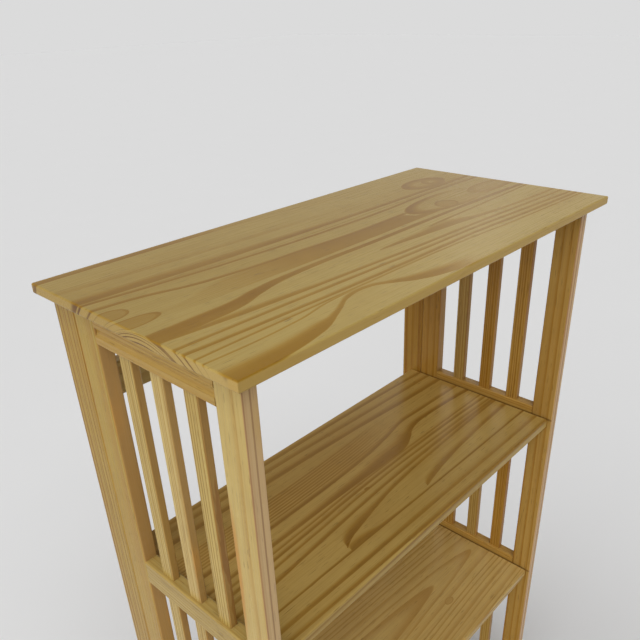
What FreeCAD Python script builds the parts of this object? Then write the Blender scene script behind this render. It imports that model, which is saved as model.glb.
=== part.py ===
import FreeCAD, Part
import os
import re

# A folding bookcase in solid pine. Two slatted side frames are hinged to the stiles of a back frame.
# Three shelves turn on pins between the stiles and fold up in front of the back rails, and the top is
# hinged to the uppermost back rail. X runs along the shelves, -Y is the front and Z is up. The origin
# is on the floor, under the middle of the top. All sizes are in millimetres.

SIZES = [
    ("top_long", 711, "length of the top board"),
    ("top_thick", 18, "thickness of the top board"),
    ("end_overhang", 17, "top board past each side frame"),
    ("front_overhang", 20, "top board past the front posts"),
    ("rear_overhang", 5, "top board past the back frame"),
    ("top_round", 2, "rounding of the top board's upper edge"),
    ("bevel_rise", 6.5, "height of the bevel under the top board's edge"),
    ("bevel_run", 16, "depth of that bevel, from the edge inwards"),
    ("bevel_round", 3, "rounding between that bevel and the edge"),
    ("top_gap", 0.3, "play between the top board and the frames under it"),
    ("side_deep", 275.5, "depth of a side frame"),
    ("frame_thick", 19, "thickness of a side frame and of a back stile"),
    ("post_wide", 38, "width of a post"),
    ("rail_high", 36, "height of a side rail"),
    ("rail_rise", 13, "side rail above the shelf beside it"),
    ("edge_round", 2, "rounding of the side frames' long edges"),
    ("back_bevel", 1.5, "bevel on the long edges of the back frame"),
    ("cove_radius", 6.5, "radius of the cove along the top side rail"),
    ("cove_deep", 3, "depth of the cove"),
    ("cove_drop", 21, "middle of the cove below the top of its rail"),
    ("slat_wide", 22, "width of a slat"),
    ("slat_thick", 10, "thickness of a slat"),
    ("slat_bevel", 1, "bevel on a slat's long edges"),
    ("slat_seat", 8, "slat let into each rail"),
    ("tenon_thick", 9, "thickness of a rail tenon"),
    ("tenon_long", 16, "length of a rail tenon"),
    ("tenon_shoulder", 6, "shoulder above and below a tenon"),
    ("fit_gap", 0.1, "clearance all round in a glued joint"),
    ("pocket_deep", 24, "depth of the pocket before the back rails, where the shelves fold up"),
    ("back_thick", 19, "thickness of a back rail"),
    ("back_rail_high", 45, "height of a back rail"),
    ("back_tenon_long", 12, "length of a back rail's tenon"),
    ("stop_drop", 8.75, "back rail below the tip of the folded shelf that leans on it"),
    ("low_shelf_high", 113, "floor to the face of the lowest shelf"),
    ("shelf_pitch", 353, "height from one shelf to the next"),
    ("top_pitch", 381, "face of the upper shelf to the face of the top board"),
    ("shelf_thick", 16.5, "thickness of a shelf"),
    ("shelf_setback", 7, "shelf behind the front of the side frames"),
    ("shelf_heel", 8, "shelf behind its pivot"),
    ("shelf_gap", 3, "play between a shelf's end and the side frame"),
    ("shelf_round", 3, "rounding of a shelf's front edge"),
    ("heel_round", 1.5, "rounding of a shelf's back edge"),
    ("pivot_radius", 3, "radius of a shelf's pivot pin"),
    ("pivot_play", 0.1, "play of a shelf's bore round its pin"),
    ("stile_bore", 14, "pivot pin let into the stile"),
    ("shelf_bore", 18, "pivot pin let into the shelf"),
    ("cleat_size", 12, "height and width of a shelf cleat"),
    ("cleat_front", 20, "cleat behind the front of the side frame"),
    ("cleat_rear", 12, "cleat before the back of the side frame"),
    ("cleat_gap", 0.2, "play between a shelf and its cleats"),
    ("hinge_gap", 0.5, "gap between a side frame and its stile"),
    ("leaf_thick", 1.5, "thickness of a hinge leaf"),
    ("barrel_radius", 2.2, "outer radius of a hinge knuckle"),
    ("knuckle_gap", 0.3, "play round and between hinge knuckles"),
    ("hinge_pin_radius", 1.1, "radius of a hinge pin"),
    ("hinge_pin_play", 0.1, "play of a knuckle round its pin"),
    ("side_hinge_long", 50, "length of a side hinge"),
    ("side_leaf_wide", 16, "side hinge axis to the edge of its leaf"),
    ("lid_hinge_long", 40, "length of a top hinge"),
    ("lid_hinge_inset", 32, "stile to the middle of a top hinge"),
    ("lid_leaf_wide", 25, "top hinge axis to the edge of its leaf"),
    ("lid_leaf_offset", 1, "top hinge axis to the near face of its leaves"),
]

SLATS_PER_BAY = 3
SHELVES = ["upper", "middle", "lower"]
RAILS = ["top", "upper", "middle", "bottom"]
BACK_RAILS = ["top"] + SHELVES
BAYS = ["top", "middle", "bottom"]
# A side hinge sits under the top board and under the lowest shelf.
HINGE_LEVELS = [0, len(SHELVES)]
SIDES = {"left": -1, "right": 1}
BEYOND = 1
LAST_SHELF = len(SHELVES) - 1

# Places that follow from the sizes. A word is a size above or another place.
PLACES = {
    "half_inner": "top_long / 2 - end_overhang - frame_thick",
    "half_outer": "top_long / 2 - end_overhang",
    "side_x": "half_inner + frame_thick / 2",
    "lid_hinge_x": "half_inner - lid_hinge_inset",
    "stile_deep": "pocket_deep + back_thick",
    "top_deep": "front_overhang + side_deep + hinge_gap + stile_deep + rear_overhang",
    "frame_front": "front_overhang - top_deep / 2",
    "side_rear": "frame_front + side_deep",
    "stile_front": "side_rear + hinge_gap",
    "back_rear": "stile_front + stile_deep",
    "back_mid_y": "back_rear - back_thick / 2",
    "side_mid_y": "frame_front + side_deep / 2",
    "slat_span": "side_deep - 2 * post_wide",
    "slat_pitch": f"(slat_span + slat_wide) / {SLATS_PER_BAY + 1}",
    "underside": f"low_shelf_high + {LAST_SHELF} * shelf_pitch + top_pitch - top_thick",
    "frame_top": "underside - top_gap",
    "pivot_y": "stile_front + pocket_deep / 2",
    "shelf_reach": "pivot_y - frame_front - shelf_setback",
    "shelf_half": "half_inner - shelf_gap",
    "knuckle_reach": "barrel_radius + knuckle_gap",
    "side_axis_x": "half_inner - knuckle_reach",
    "side_axis_y": "side_rear + hinge_gap / 2",
    "lid_axis_y": "back_rear + leaf_thick + lid_leaf_offset",
    "lid_axis_z": "underside - lid_leaf_offset",
}

X_AXIS = FreeCAD.Vector(1, 0, 0)
Y_AXIS = FreeCAD.Vector(0, 1, 0)
Z_AXIS = FreeCAD.Vector(0, 0, 1)
# Turns a cylinder, which stands along Z, to lie along another axis.
LYING = {
    "x": FreeCAD.Rotation(Y_AXIS, 90),
    "y": FreeCAD.Rotation(X_AXIS, -90),
    "z": FreeCAD.Rotation(),
}

doc = FreeCAD.newDocument("FoldingBookcase")
sheet = doc.addObject("Spreadsheet::Sheet", "Sizes")
for row, (alias, value, meaning) in enumerate(SIZES, 1):
    sheet.set(f"A{row}", meaning)
    sheet.set(f"B{row}", str(value))
    sheet.setAlias(f"B{row}", alias)
doc.recompute()

pieces = []


def full(text):
    # Writes out a short expression: places are opened up, and sizes are looked up in the sheet.
    def swap(match):
        word = match.group(0)
        if word in PLACES:
            return "(" + full(PLACES[word]) + ")"
        return "Sizes." + word

    return re.sub(r"[a-z_]+", swap, str(text))


def shelf_top(level):
    return f"(low_shelf_high + {LAST_SHELF - level} * shelf_pitch)"


def pivot_z(level):
    return f"({shelf_top(level)} - shelf_thick / 2)"


def rail_top(level):
    if level == 0:
        return "frame_top"
    return f"({shelf_top(level - 1)} + rail_rise)"


def hinge_z(level):
    # Halfway up the gap that no shelf sweeps as it folds.
    above = "frame_top" if level == 0 else f"({pivot_z(level - 1)} - shelf_heel)"
    below = "0" if level > LAST_SHELF else f"({pivot_z(level)} + shelf_reach)"
    return f"({above} + {below}) / 2"


def outward(sign, low, high):
    # A range measured from the middle plane of a side frame towards the outside of the bookcase.
    if sign > 0:
        return (low, high)
    return (f"-({high})", f"-({low})")


def finish(piece):
    pieces.append(piece)
    return piece


def place(piece, x, y, z):
    for axis, value in zip("xyz", (x, y, z)):
        piece.setExpression(f".Placement.Base.{axis}", full(value))


def block(body, name, x, y, z, cut=False):
    kind = "PartDesign::SubtractiveBox" if cut else "PartDesign::AdditiveBox"
    feature = body.newObject(kind, f"{body.Name}_{name}")
    for prop, axis, (low, high) in zip(("Length", "Width", "Height"), "xyz", (x, y, z)):
        feature.setExpression(prop, full(f"({high}) - ({low})"))
        feature.setExpression(f".Placement.Base.{axis}", full(low))
    return feature


def bore(body, name, radius, along, span, at):
    # Cuts a round hole along an axis. The span is its range on that axis, and at is its place on all
    # three, where the one along the axis is left out.
    feature = body.newObject("PartDesign::SubtractiveCylinder", f"{body.Name}_{name}")
    feature.Placement = FreeCAD.Placement(FreeCAD.Vector(), LYING[along])
    feature.setExpression("Radius", full(radius))
    feature.setExpression("Height", full(f"({span[1]}) - ({span[0]})"))
    base = dict(at)
    base[along] = span[0]
    for axis in "xyz":
        feature.setExpression(f".Placement.Base.{axis}", full(base[axis]))
    return feature


def dress_edges(body, kind, name, size_name, size, keep):
    # Rounds or bevels the edges of the body so far that the rule keep accepts.
    doc.recompute()
    base = body.Tip
    names = [f"Edge{number}" for number, edge in enumerate(base.Shape.Edges, 1) if keep(edge)]
    feature = body.newObject(kind, f"{body.Name}_{name}")
    feature.Base = (base, names)
    feature.setExpression(size_name, full(size))
    return feature


def round_edges(body, name, radius, keep):
    return dress_edges(body, "PartDesign::Fillet", name, "Radius", radius, keep)


def bevel_edges(body, name, size, keep):
    return dress_edges(body, "PartDesign::Chamfer", name, "Size", size, keep)


def runs_along(axis):
    def keep(edge):
        if not isinstance(edge.Curve, Part.Line):
            return False
        return abs(edge.tangentAt(edge.FirstParameter).dot(axis)) > 0.999

    return keep


def lies_on(height):
    # Accepts the edges of a level face at this height.
    def keep(edge):
        bounds = edge.BoundBox
        return abs(bounds.ZMin - height) < 0.001 and abs(bounds.ZMax - height) < 0.001

    return keep


def new_body(name):
    return doc.addObject("PartDesign::Body", name)


def around(half, gap="0"):
    return (f"-({half}) - {gap}", f"({half}) + {gap}")


# Side frames


def tenon_mortise(body, name, x, y, z_mid, high):
    half = f"({high}) / 2 - tenon_shoulder"
    z = (f"{z_mid} - ({half}) - fit_gap", f"{z_mid} + {half} + fit_gap")
    return block(body, name, x, y, z, cut=True)


def post(side, name):
    # The origin of a post is at the middle of its foot.
    sign = SIDES[side]
    front = name == "front"
    body = new_body(f"{side}_{name}_post")
    block(body, "wood", around("frame_thick / 2"), around("post_wide / 2"), ("0", "frame_top"))
    round_edges(body, "eased", "edge_round", runs_along(Z_AXIS))
    if front:
        y = ("post_wide / 2 - tenon_long - fit_gap", f"post_wide / 2 + {BEYOND}")
    else:
        y = (f"-post_wide / 2 - {BEYOND}", "-post_wide / 2 + tenon_long + fit_gap")
    for level, rail in enumerate(RAILS):
        z_mid = f"({rail_top(level)} - rail_high / 2)"
        tenon_mortise(body, f"{rail}_mortise", around("tenon_thick / 2", "fit_gap"), y, z_mid, "rail_high")
    if not front:
        leaf_seats(body, sign, ("post_wide / 2 - leaf_thick", f"post_wide / 2 + {BEYOND}"))
    middle_y = "frame_front + post_wide / 2" if front else "side_rear - post_wide / 2"
    place(body, f"{sign} * side_x", middle_y, "0")
    return finish(body)


def leaf_seats(body, sign, y):
    # Lets the side hinges' leaves into the wood, from its inner face.
    inner = "-frame_thick / 2"
    x = outward(sign, f"{inner} - {BEYOND}", f"{inner} + side_leaf_wide - knuckle_reach + fit_gap")
    half = "side_hinge_long / 2 + fit_gap"
    for level in HINGE_LEVELS:
        middle = hinge_z(level)
        z = (f"{middle} - ({half})", f"{middle} + {half}")
        block(body, f"hinge_{level}_seat", x, y, z, cut=True)


def side_rail(side, level):
    # The origin of a side rail is at its middle.
    sign = SIDES[side]
    name = RAILS[level]
    body = new_body(f"{side}_{name}_rail")
    half_long = "slat_span / 2"
    block(body, "wood", around("frame_thick / 2"), around(half_long), around("rail_high / 2"))
    round_edges(body, "eased", "edge_round", runs_along(Y_AXIS))
    tenon_high = around("rail_high / 2 - tenon_shoulder")
    block(body, "tenons", around("tenon_thick / 2"), around(f"{half_long} + tenon_long"), tenon_high)
    if level == 0:
        # The cove runs along the outer face, between the posts.
        reach = "frame_thick / 2 - cove_deep + cove_radius"
        at = {"x": f"{sign} * ({reach})", "z": "rail_high / 2 - cove_drop"}
        bore(body, "cove", "cove_radius", "y", around(half_long), at)
    seats = []
    if level > 0:
        seats.append(("above", "rail_high / 2 - slat_seat - fit_gap", f"rail_high / 2 + {BEYOND}"))
    if level < len(RAILS) - 1:
        seats.append(("below", f"-rail_high / 2 - {BEYOND}", "-rail_high / 2 + slat_seat + fit_gap"))
    for where, low, high in seats:
        for number in range(SLATS_PER_BAY):
            middle = slat_y(number)
            y = (f"{middle} - slat_wide / 2 - fit_gap", f"{middle} + slat_wide / 2 + fit_gap")
            x = around("slat_thick / 2", "fit_gap")
            block(body, f"{where}_{number + 1}", x, y, (low, high), cut=True)
    place(body, f"{sign} * side_x", "side_mid_y", f"{rail_top(level)} - rail_high / 2")
    return finish(body)


def slat_y(number):
    return f"({number - (SLATS_PER_BAY - 1) / 2} * slat_pitch)"


def slat(side, bay, number):
    # The origin of a slat is at its middle.
    body = new_body(f"{side}_{BAYS[bay]}_slat_{number + 1}")
    opening = f"({rail_top(bay)} - rail_high - {rail_top(bay + 1)})"
    x = around("slat_thick / 2")
    block(body, "wood", x, around("slat_wide / 2"), around(f"{opening} / 2 + slat_seat"))
    bevel_edges(body, "eased", "slat_bevel", runs_along(Z_AXIS))
    middle = f"({rail_top(bay)} - rail_high + {rail_top(bay + 1)}) / 2"
    place(body, f"{SIDES[side]} * side_x", f"side_mid_y + {slat_y(number)}", middle)
    return finish(body)


def cleat(side, level):
    # A cleat is glued to the inner faces of the posts and the rail, under the shelf's end.
    body = new_body(f"{side}_{SHELVES[level]}_cleat")
    long = "side_deep - cleat_front - cleat_rear"
    block(body, "wood", around("cleat_size / 2"), around(f"({long}) / 2"), around("cleat_size / 2"))
    middle_y = "side_mid_y + (cleat_front - cleat_rear) / 2"
    middle_z = f"{shelf_top(level)} - shelf_thick - cleat_gap - cleat_size / 2"
    place(body, f"{SIDES[side]} * (half_inner - cleat_size / 2)", middle_y, middle_z)
    return finish(body)


# Back frame


def stile(side):
    # The side frame is hinged to the front of its stile, and the shelves turn on pins in its inner face.
    # The origin of a stile is at the middle of its foot.
    sign = SIDES[side]
    body = new_body(f"back_{side}_stile")
    block(body, "wood", around("frame_thick / 2"), around("stile_deep / 2"), ("0", "frame_top"))
    bevel_edges(body, "eased", "back_bevel", runs_along(Z_AXIS))
    inner = "-frame_thick / 2"
    x = outward(sign, f"{inner} - {BEYOND}", f"{inner} + back_tenon_long + fit_gap")
    middle = "(stile_deep - back_thick) / 2"
    y = (f"{middle} - tenon_thick / 2 - fit_gap", f"{middle} + tenon_thick / 2 + fit_gap")
    for name in BACK_RAILS:
        tenon_mortise(body, f"{name}_mortise", x, y, back_rail_z(name), "back_rail_high")
    leaf_seats(body, sign, (f"-stile_deep / 2 - {BEYOND}", "-stile_deep / 2 + leaf_thick"))
    x = outward(sign, f"{inner} - {BEYOND}", f"{inner} + stile_bore + fit_gap")
    for level, name in enumerate(SHELVES):
        at = {"y": "(pocket_deep - stile_deep) / 2", "z": pivot_z(level)}
        bore(body, f"{name}_pivot_bore", "pivot_radius + fit_gap", "x", x, at)
    place(body, f"{sign} * side_x", "stile_front + stile_deep / 2", "0")
    return finish(body)


def back_rail_z(name):
    # The top rail is under the top board. A folded shelf leans on the rail behind its tip.
    if name == "top":
        return "(frame_top - back_rail_high / 2)"
    return f"({pivot_z(SHELVES.index(name))} + shelf_reach - stop_drop - back_rail_high / 2)"


def back_rail(name):
    # The origin of a back rail is at its middle.
    body = new_body(f"back_{name}_rail")
    block(body, "wood", around("half_inner"), around("back_thick / 2"), around("back_rail_high / 2"))
    bevel_edges(body, "eased", "back_bevel", runs_along(X_AXIS))
    tenon_high = around("back_rail_high / 2 - tenon_shoulder")
    block(body, "tenons", around("half_inner + back_tenon_long"), around("tenon_thick / 2"), tenon_high)
    place(body, "0", "back_mid_y", back_rail_z(name))
    return finish(body)


# Shelves and top


def shelf(level):
    # The origin of a shelf is on its pivot axis, halfway along it.
    body = new_body(f"{SHELVES[level]}_shelf")
    block(body, "wood", around("shelf_half"), ("-shelf_reach", "shelf_heel"), around("shelf_thick / 2"))
    along = runs_along(X_AXIS)
    round_edges(body, "nosing", "shelf_round", lambda edge: along(edge) and edge.CenterOfMass.y < 0)
    round_edges(body, "heel", "heel_round", lambda edge: along(edge) and edge.CenterOfMass.y > 0)
    bore_start = "shelf_half - shelf_bore - fit_gap"
    for side, sign in SIDES.items():
        x = outward(sign, bore_start, f"shelf_half + {BEYOND}")
        bore(body, f"{side}_bore", "pivot_radius + pivot_play", "x", x, {"y": "0", "z": "0"})
    place(body, "0", "pivot_y", pivot_z(level))
    return finish(body)


def moulded_slab(name, along, edges):
    # A slab of the top board's size, moulded on the edges named. Each edge runs along the same axis.
    body = new_body(name)
    block(body, "wood", around("top_long / 2"), around("top_deep / 2"), ("0", "top_thick"))
    parallel = runs_along(along)

    def arris(outside, height):
        level = lies_on(height)
        return lambda edge: parallel(edge) and level(edge) and edge.CenterOfMass.dot(outside) > 0

    for number, outside in enumerate(edges):
        under = bevel_edges(body, f"bevel_{number}", "bevel_rise", arris(outside, 0))
        under.ChamferType = "Two distances"
        under.setExpression("Size2", full("bevel_run"))
        round_edges(body, f"turn_{number}", "bevel_round", arris(outside, sheet.bevel_rise))
        round_edges(body, f"eased_{number}", "top_round", arris(outside, sheet.top_thick))
    return body


def top_board():
    # The moulding runs along the front and both ends, and is mitred at the corners. The origin of the
    # top board is in the middle of its underside.
    front = moulded_slab("top_board_front", X_AXIS, [-Y_AXIS])
    ends = moulded_slab("top_board_ends", Y_AXIS, [-X_AXIS, X_AXIS])
    blank = doc.addObject("Part::MultiCommon", "top_board_blank")
    blank.Shapes = [front, ends]
    seats = []
    half = "lid_hinge_long / 2 + fit_gap"
    y = ("lid_axis_y - lid_leaf_wide - fit_gap", f"top_deep / 2 + {BEYOND}")
    for side, sign in SIDES.items():
        x = (f"{sign} * lid_hinge_x - ({half})", f"{sign} * lid_hinge_x + {half}")
        seats.append(solid_box(f"top_board_{side}_seat", x, y, (f"-{BEYOND}", "leaf_thick")))
    both = doc.addObject("Part::MultiFuse", "top_board_seats")
    both.Shapes = seats
    board = doc.addObject("Part::Cut", "top_board")
    board.Base = blank
    board.Tool = both
    place(board, "0", "0", "underside")
    return finish(board)


# Hinges. In a hinge's own frame the axis is Z, a leaf lies on the +Y side and reaches towards -X.


def turned(x_to, y_to):
    # The rotation that carries the hinge's own X and Y to these directions.
    z_to = x_to.cross(y_to)
    return FreeCAD.Rotation(x_to, y_to, z_to, "ZXY")


ON_AXIS = {"x": "0", "y": "0"}
SEATED = {
    "left_stile": turned(X_AXIS, Y_AXIS),
    "left_post": turned(X_AXIS, -Y_AXIS),
    "right_stile": turned(-X_AXIS, Y_AXIS),
    "right_post": turned(-X_AXIS, -Y_AXIS),
    "rail": turned(Z_AXIS, -Y_AXIS),
    "top": turned(Y_AXIS, Z_AXIS),
}


def solid_box(name, x, y, z):
    box = doc.addObject("Part::Box", name)
    for prop, axis, (low, high) in zip(("Length", "Width", "Height"), "xyz", (x, y, z)):
        box.setExpression(prop, full(f"({high}) - ({low})"))
        box.setExpression(f".Placement.Base.{axis}", full(low))
    return box


def solid_rod(name, radius, along, span, at):
    rod = doc.addObject("Part::Cylinder", name)
    rod.Placement = FreeCAD.Placement(FreeCAD.Vector(), LYING[along])
    rod.setExpression("Radius", full(radius))
    rod.setExpression("Height", full(f"({span[1]}) - ({span[0]})"))
    base = dict(at)
    base[along] = span[0]
    for axis in "xyz":
        rod.setExpression(f".Placement.Base.{axis}", full(base[axis]))
    return rod


def seat(piece, turn, at):
    piece.Placement = FreeCAD.Placement(FreeCAD.Vector(), turn)
    place(piece, *at)
    return piece


def leaf_parts(name, knuckles, long, wide, offset):
    # A plate and its knuckles, which are numbered -1, 0 and 1 along the axis.
    flat = (offset, f"({offset}) + leaf_thick")
    parts = [solid_box(name + "_plate", (f"-({wide})", "-knuckle_reach"), flat, around(f"{long} / 2"))]
    for number in knuckles:
        middle = f"{number} * {long} / 3"
        half = f"({long} / 6 - knuckle_gap / 2)"
        z = (f"{middle} - {half}", f"{middle} + {half}")
        parts.append(solid_box(f"{name}_tab_{number + 1}", ("-knuckle_reach - fit_gap", "0"), flat, z))
        parts.append(solid_rod(f"{name}_knuckle_{number + 1}", "barrel_radius", "z", z, ON_AXIS))
    return parts


def fixed_leaf(name, sizes, turn, at):
    # The pin is fast in the two knuckles of the fixed leaf.
    pin = solid_rod(name + "_pin", "hinge_pin_radius", "z", around(f"{sizes[0]} / 4"), ON_AXIS)
    result = doc.addObject("Part::MultiFuse", name)
    result.Shapes = leaf_parts(name, (-1, 1), *sizes) + [pin]
    return seat(result, turn, at)


def moving_leaf(name, sizes, turn, at):
    metal = doc.addObject("Part::MultiFuse", name + "_metal")
    metal.Shapes = leaf_parts(name, (0,), *sizes)
    span = around(f"{sizes[0]} / 4")
    result = doc.addObject("Part::Cut", name)
    result.Base = metal
    result.Tool = solid_rod(name + "_bore", "hinge_pin_radius + hinge_pin_play", "z", span, ON_AXIS)
    return seat(result, turn, at)


def group(name, members):
    result = doc.addObject("Part::Compound", name)
    result.Links = members
    return finish(result)


def side_hinges():
    sizes = ("side_hinge_long", "side_leaf_wide", "hinge_gap / 2")
    fixed = []
    for side, sign in SIDES.items():
        moving = []
        for level in HINGE_LEVELS:
            name = f"{side}_hinge_{level}"
            at = (f"{sign} * side_axis_x", "side_axis_y", hinge_z(level))
            fixed.append(fixed_leaf(f"{name}_fixed", sizes, SEATED[f"{side}_stile"], at))
            moving.append(moving_leaf(f"{name}_moving", sizes, SEATED[f"{side}_post"], at))
        group(f"{side}_hinge_leaves", moving)
    group("stile_hinge_leaves", fixed)


def top_hinges():
    sizes = ("lid_hinge_long", "lid_leaf_wide", "lid_leaf_offset")
    fixed = []
    moving = []
    for side, sign in SIDES.items():
        name = f"{side}_top_hinge"
        at = (f"{sign} * lid_hinge_x", "lid_axis_y", "lid_axis_z")
        fixed.append(fixed_leaf(f"{name}_fixed", sizes, SEATED["rail"], at))
        moving.append(moving_leaf(f"{name}_moving", sizes, SEATED["top"], at))
    group("rail_hinge_leaves", fixed)
    group("top_hinge_leaves", moving)


def pivot_pins():
    pins = []
    for level, name in enumerate(SHELVES):
        for side, sign in SIDES.items():
            x = outward(sign, "shelf_half - shelf_bore", "half_inner + stile_bore")
            at = {"y": "pivot_y", "z": pivot_z(level)}
            pins.append(solid_rod(f"{side}_{name}_pivot", "pivot_radius", "x", x, at))
    group("shelf_pivot_pins", pins)


for side_name in SIDES:
    stile(side_name)
for rail_name in BACK_RAILS:
    back_rail(rail_name)
for shelf_level in range(len(SHELVES)):
    shelf(shelf_level)
for side_name in SIDES:
    post(side_name, "front")
    post(side_name, "rear")
    for rail_level in range(len(RAILS)):
        side_rail(side_name, rail_level)
    for bay_number in range(len(BAYS)):
        for slat_number in range(SLATS_PER_BAY):
            slat(side_name, bay_number, slat_number)
    for shelf_level in range(len(SHELVES)):
        cleat(side_name, shelf_level)
top_board()
side_hinges()
top_hinges()
pivot_pins()
doc.recompute()

for item in doc.Objects:
    if "Invalid" in item.State or "Error" in item.State:
        raise RuntimeError(f"{item.Name} failed: {item.State}")
for piece in pieces:
    if piece.Shape.isNull() or not piece.Shape.isValid():
        raise RuntimeError(f"{piece.Label} has no valid shape")

os.makedirs("parts", exist_ok=True)
for piece in pieces:
    piece.Shape.exportStep(f"parts/{piece.Label}.step")
print(f"{len(pieces)} pieces")
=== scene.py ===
import math
import bpy
import numpy as np
from mathutils import Euler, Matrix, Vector


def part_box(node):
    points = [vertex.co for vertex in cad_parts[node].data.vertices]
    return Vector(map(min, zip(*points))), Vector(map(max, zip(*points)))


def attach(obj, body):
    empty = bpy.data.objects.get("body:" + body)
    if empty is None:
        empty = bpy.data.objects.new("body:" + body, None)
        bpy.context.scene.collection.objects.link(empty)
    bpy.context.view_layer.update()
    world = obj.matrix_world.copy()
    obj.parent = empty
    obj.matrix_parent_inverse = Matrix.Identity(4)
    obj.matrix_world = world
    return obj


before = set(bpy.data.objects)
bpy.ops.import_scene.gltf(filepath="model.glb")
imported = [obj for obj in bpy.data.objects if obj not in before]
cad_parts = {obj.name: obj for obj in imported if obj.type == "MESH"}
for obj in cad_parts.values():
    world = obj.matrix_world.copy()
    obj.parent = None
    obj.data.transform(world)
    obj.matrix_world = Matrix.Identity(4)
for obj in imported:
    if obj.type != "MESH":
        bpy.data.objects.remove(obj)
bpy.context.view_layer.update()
scene = bpy.context.scene
scene.view_settings.view_transform = "Standard"
print("frame loaded:", len(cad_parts), "nodes")


def paint(red, green, blue):
    # an 8-bit display colour as the linear colour that shaders take
    values = np.array([red, green, blue]) / 255
    linear = np.where(values <= 0.04045, values / 12.92, ((values + 0.055) / 1.055) ** 2.4)
    return (*linear.tolist(), 1)


# node helpers: a value is a number, a colour or the socket that feeds it

def feed(tree, socket, value):
    if isinstance(value, bpy.types.NodeSocket):
        tree.links.new(value, socket)
    elif value is not None:
        socket.default_value = value


def maths(tree, operation, first, second=None, third=None, clamp=False):
    node = tree.nodes.new("ShaderNodeMath")
    node.operation = operation
    node.use_clamp = clamp
    for socket, value in zip(node.inputs, (first, second, third)):
        feed(tree, socket, value)
    return node.outputs[0]


def times(tree, first, second):
    return maths(tree, "MULTIPLY", first, second)


def squares(tree, first, second):
    # the sum of the two squares
    return maths(tree, "ADD", times(tree, first, first), times(tree, second, second))


def steps(tree, value, low, high, outLow=0.0, outHigh=1.0, smooth=True):
    # low..high becomes outLow..outHigh, held at the ends
    node = tree.nodes.new("ShaderNodeMapRange")
    node.interpolation_type = "SMOOTHSTEP" if smooth else "LINEAR"
    numbers = {"Value": value, "From Min": low, "From Max": high, "To Min": outLow, "To Max": outHigh}
    for name, number in numbers.items():
        feed(tree, node.inputs[name], number)
    return node.outputs["Result"]


def blendColour(tree, factor, first, second, mode="MIX"):
    node = tree.nodes.new("ShaderNodeMix")
    node.data_type = "RGBA"
    node.blend_type = mode
    feed(tree, node.inputs[0], factor)
    feed(tree, node.inputs[6], first)
    feed(tree, node.inputs[7], second)
    return node.outputs[2]


def vectorMath(tree, operation, first, second=None):
    node = tree.nodes.new("ShaderNodeVectorMath")
    node.operation = operation
    feed(tree, node.inputs[0], first)
    feed(tree, node.inputs[1], second)
    return node.outputs[0]


def cloud(tree, vector, scale, detail=2.0, rough=0.5):
    # soft noise; scale is cycles a metre on each axis
    node = tree.nodes.new("ShaderNodeTexNoise")
    feed(tree, node.inputs["Vector"], vectorMath(tree, "MULTIPLY", vector, scale))
    feed(tree, node.inputs["Scale"], 1.0)
    feed(tree, node.inputs["Detail"], detail)
    feed(tree, node.inputs["Roughness"], rough)
    return node.outputs["Fac"]


def split(tree, vector):
    node = tree.nodes.new("ShaderNodeSeparateXYZ")
    feed(tree, node.inputs[0], vector)
    return node.outputs


def join(tree, x, y, z):
    node = tree.nodes.new("ShaderNodeCombineXYZ")
    for socket, value in zip(node.inputs, (x, y, z)):
        feed(tree, socket, value)
    return node.outputs[0]


def newGroup(name, inputs, outputs):
    tree = bpy.data.node_groups.new(name, "ShaderNodeTree")
    kinds = {"float": "NodeSocketFloat", "colour": "NodeSocketColor", "vector": "NodeSocketVector"}
    for label, kind in inputs.items():
        tree.interface.new_socket(name=label, in_out="INPUT", socket_type=kinds[kind])
    for label, kind in outputs.items():
        tree.interface.new_socket(name=label, in_out="OUTPUT", socket_type=kinds[kind])
    return tree, tree.nodes.new("NodeGroupInput").outputs, tree.nodes.new("NodeGroupOutput").inputs


def useGroup(tree, group, **values):
    node = tree.nodes.new("ShaderNodeGroup")
    node.node_tree = group
    for label, value in values.items():
        feed(tree, node.inputs[label], value)
    return node.outputs


# shared effects

# a noise is cycles a metre along and across the grain, detail and roughness; away sets the two drifts apart
driftLook = {
    "slow": ((2.2, 11, 11), 1.5), "deep": ((1.7, 8, 8), 1.0), "away": (7.3, 1.9, 4.1),
    "fine": ((16, 120, 120), 2.0), "shake": 0.0016,
}


def buildWarp():
    # slow sideways drift of the grain, with a finer shake on it
    tree, given, out = newGroup(
        "grainDrift", {"Vector": "vector", "Seed": "float", "Drift": "float"}, {"Vector": "vector"},
    )
    moved = vectorMath(tree, "ADD", given["Vector"], join(tree, given["Seed"], given["Seed"], 0.0))
    slow = maths(tree, "SUBTRACT", cloud(tree, moved, *driftLook["slow"]), 0.5)
    elsewhere = vectorMath(tree, "ADD", moved, driftLook["away"])
    slowDeep = maths(tree, "SUBTRACT", cloud(tree, elsewhere, *driftLook["deep"]), 0.5)
    fine = maths(tree, "SUBTRACT", cloud(tree, moved, *driftLook["fine"]), 0.5)
    x, y, z = split(tree, given["Vector"])
    across = maths(tree, "MULTIPLY_ADD", slow, given["Drift"], y)
    across = maths(tree, "MULTIPLY_ADD", fine, driftLook["shake"], across)
    deep = maths(tree, "MULTIPLY_ADD", slowDeep, given["Drift"], z)
    feed(tree, out["Vector"], join(tree, x, across, deep))
    return tree


# places within a ring run from 0 to 1; depth is the least strength of late wood and what chance adds to it
ringLook = {
    "uneven": 2.6, "swell": ((0.43, 1, 1), 1.0), "startChance": 0.3, "full": 0.93, "fall": 0.95,
    "depth": (0.55, 0.45),
}


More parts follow.
